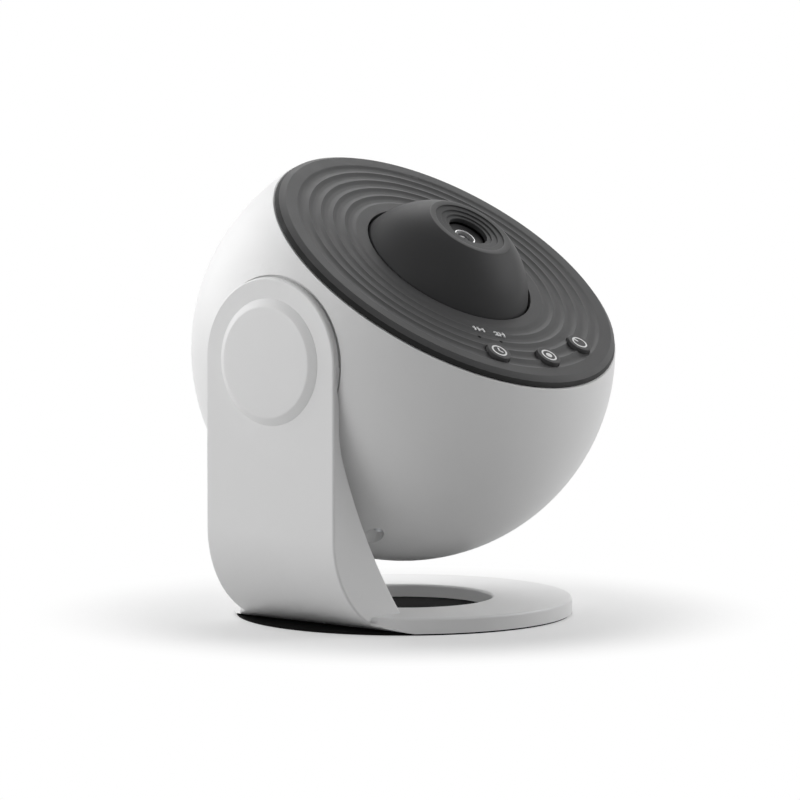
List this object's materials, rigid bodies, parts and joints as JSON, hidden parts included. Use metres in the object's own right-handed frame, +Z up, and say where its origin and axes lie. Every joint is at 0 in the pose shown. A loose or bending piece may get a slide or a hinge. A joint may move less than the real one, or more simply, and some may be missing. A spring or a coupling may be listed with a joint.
{
  "type": "planetarium projector",
  "caption": "Ball-shaped home planetarium projector with a ringed front panel and focusing lens dome, tilting on one bent arm above a round foot.",
  "frame": {"origin": "middle of the underside of the round foot, on the surface that it stands on", "axes": "+Z up; the tilt axis runs along X with the arm at -X; the buttons face -Y"},
  "size_m": [0.1489, 0.1491, 0.1606],
  "materials": {
    "white_plastic": "satin moulded",
    "panel_plastic": "satin moulded",
    "dome_plastic": "satin moulded",
    "inner_plastic": "matt moulded",
    "gear_plastic": "natural moulded",
    "pad_rubber": "matt",
    "steel": "plated",
    "cast_weight": "painted",
    "sink_metal": "matt",
    "bright_ring": "polished",
    "bronze": "sintered",
    "optic": "polished",
    "film": "film laminate",
    "board_green": "solder mask",
    "light_pipe": "clear moulded",
    "lamp_yellow": "phosphor"
  },
  "bodies": {
    "stand": {"stand_shell": "white_plastic", "stand_cover": "white_plastic", "foot_weight": "cast_weight", "push_nuts": "steel", "foot_pad": "pad_rubber", "pivot_pin": "steel", "pivot_screws": "steel", "pivot_cap": "white_plastic", "wave_washer": "steel", "pivot_nut": "steel"},
    "ball": {"ball_shell": "white_plastic", "case_screws": "steel", "hub_bush": "bronze", "friction_washer": "inner_plastic", "front_panel": "panel_plastic", "timer_lights": "light_pipe", "tact_switches": "inner_plastic", "main_board": "board_green", "board_screws": "steel", "chassis": "inner_plastic", "light_tube": "inner_plastic", "condenser_lower": "optic", "condenser_upper": "optic", "lens_spacer": "inner_plastic", "lens_rest": "inner_plastic", "lamp_board": "board_green", "lamp": "lamp_yellow", "heat_sink": "sink_metal", "sink_screws": "steel", "gear_motor": "steel", "motor_screws": "steel", "head_well": "inner_plastic", "well_screws": "steel", "power_inlet": "inner_plastic"},
    "film_carrier": {"film_carrier": "gear_plastic", "film_disc": "film"},
    "pinion": {"drive_pinion": "gear_plastic", "motor_shaft": "steel"},
    "lens_head": {"head_base": "inner_plastic", "keeper_ring": "inner_plastic", "keeper_screws": "steel"},
    "focus_dome": {"focus_dome": "dome_plastic", "cam_sleeve": "inner_plastic"},
    "lens_barrel": {"lens_barrel": "inner_plastic", "follower_pins": "steel", "front_lens": "optic", "lens_bezel": "bright_ring", "rear_lens": "optic", "rear_lens_ring": "inner_plastic"},
    "button_timer": {"button_timer": "panel_plastic"},
    "button_brightness": {"button_brightness": "panel_plastic"},
    "button_power": {"button_power": "panel_plastic"}
  },
  "joints": [
    {"name": "ball_tilt", "type": "hinge", "parent": "stand", "child": "ball", "pos_m": [0, 0, 0.094], "axis": [1, 0, 0], "continuous": true},
    {"name": "head_lift", "type": "slide", "parent": "ball", "child": "lens_head", "axis": [0, -0.5664, 0.8241], "range_m": [0, 0.028]},
    {"name": "focus_turn", "type": "hinge", "parent": "lens_head", "child": "focus_dome", "pos_m": [0, 0, 0.094], "axis": [0, -0.5664, 0.8241], "range_deg": [-120, 60]},
    {"name": "lens_travel", "type": "slide", "parent": "lens_head", "child": "lens_barrel", "axis": [0, -0.5664, 0.8241], "range_m": [-0.00401, 0.00201]},
    {"name": "film_spin", "type": "hinge", "parent": "ball", "child": "film_carrier", "pos_m": [0, 0, 0.094], "axis": [0, -0.5664, 0.8241], "continuous": true},
    {"name": "pinion_spin", "type": "hinge", "parent": "ball", "child": "pinion", "pos_m": [0, 0.02967, 0.11439], "axis": [0, -0.5664, 0.8241], "continuous": true},
    {"name": "button_timer_press", "type": "slide", "parent": "ball", "child": "button_timer", "axis": [0, 0.5664, -0.8241], "range_m": [0, 0.0005], "stiffness_N_per_m": 1000, "springref_m": -0.001},
    {"name": "button_brightness_press", "type": "slide", "parent": "ball", "child": "button_brightness", "axis": [0, 0.5664, -0.8241], "range_m": [0, 0.0005], "stiffness_N_per_m": 1000, "springref_m": -0.001},
    {"name": "button_power_press", "type": "slide", "parent": "ball", "child": "button_power", "axis": [0, 0.5664, -0.8241], "range_m": [0, 0.0005], "stiffness_N_per_m": 1000, "springref_m": -0.001}
  ],
  "couplings": [
    {"joint": "lens_travel", "follows": "focus_turn", "m_per_rad": 0.0019099},
    {"joint": "pinion_spin", "follows": "film_spin", "ratio": -5}
  ]
}
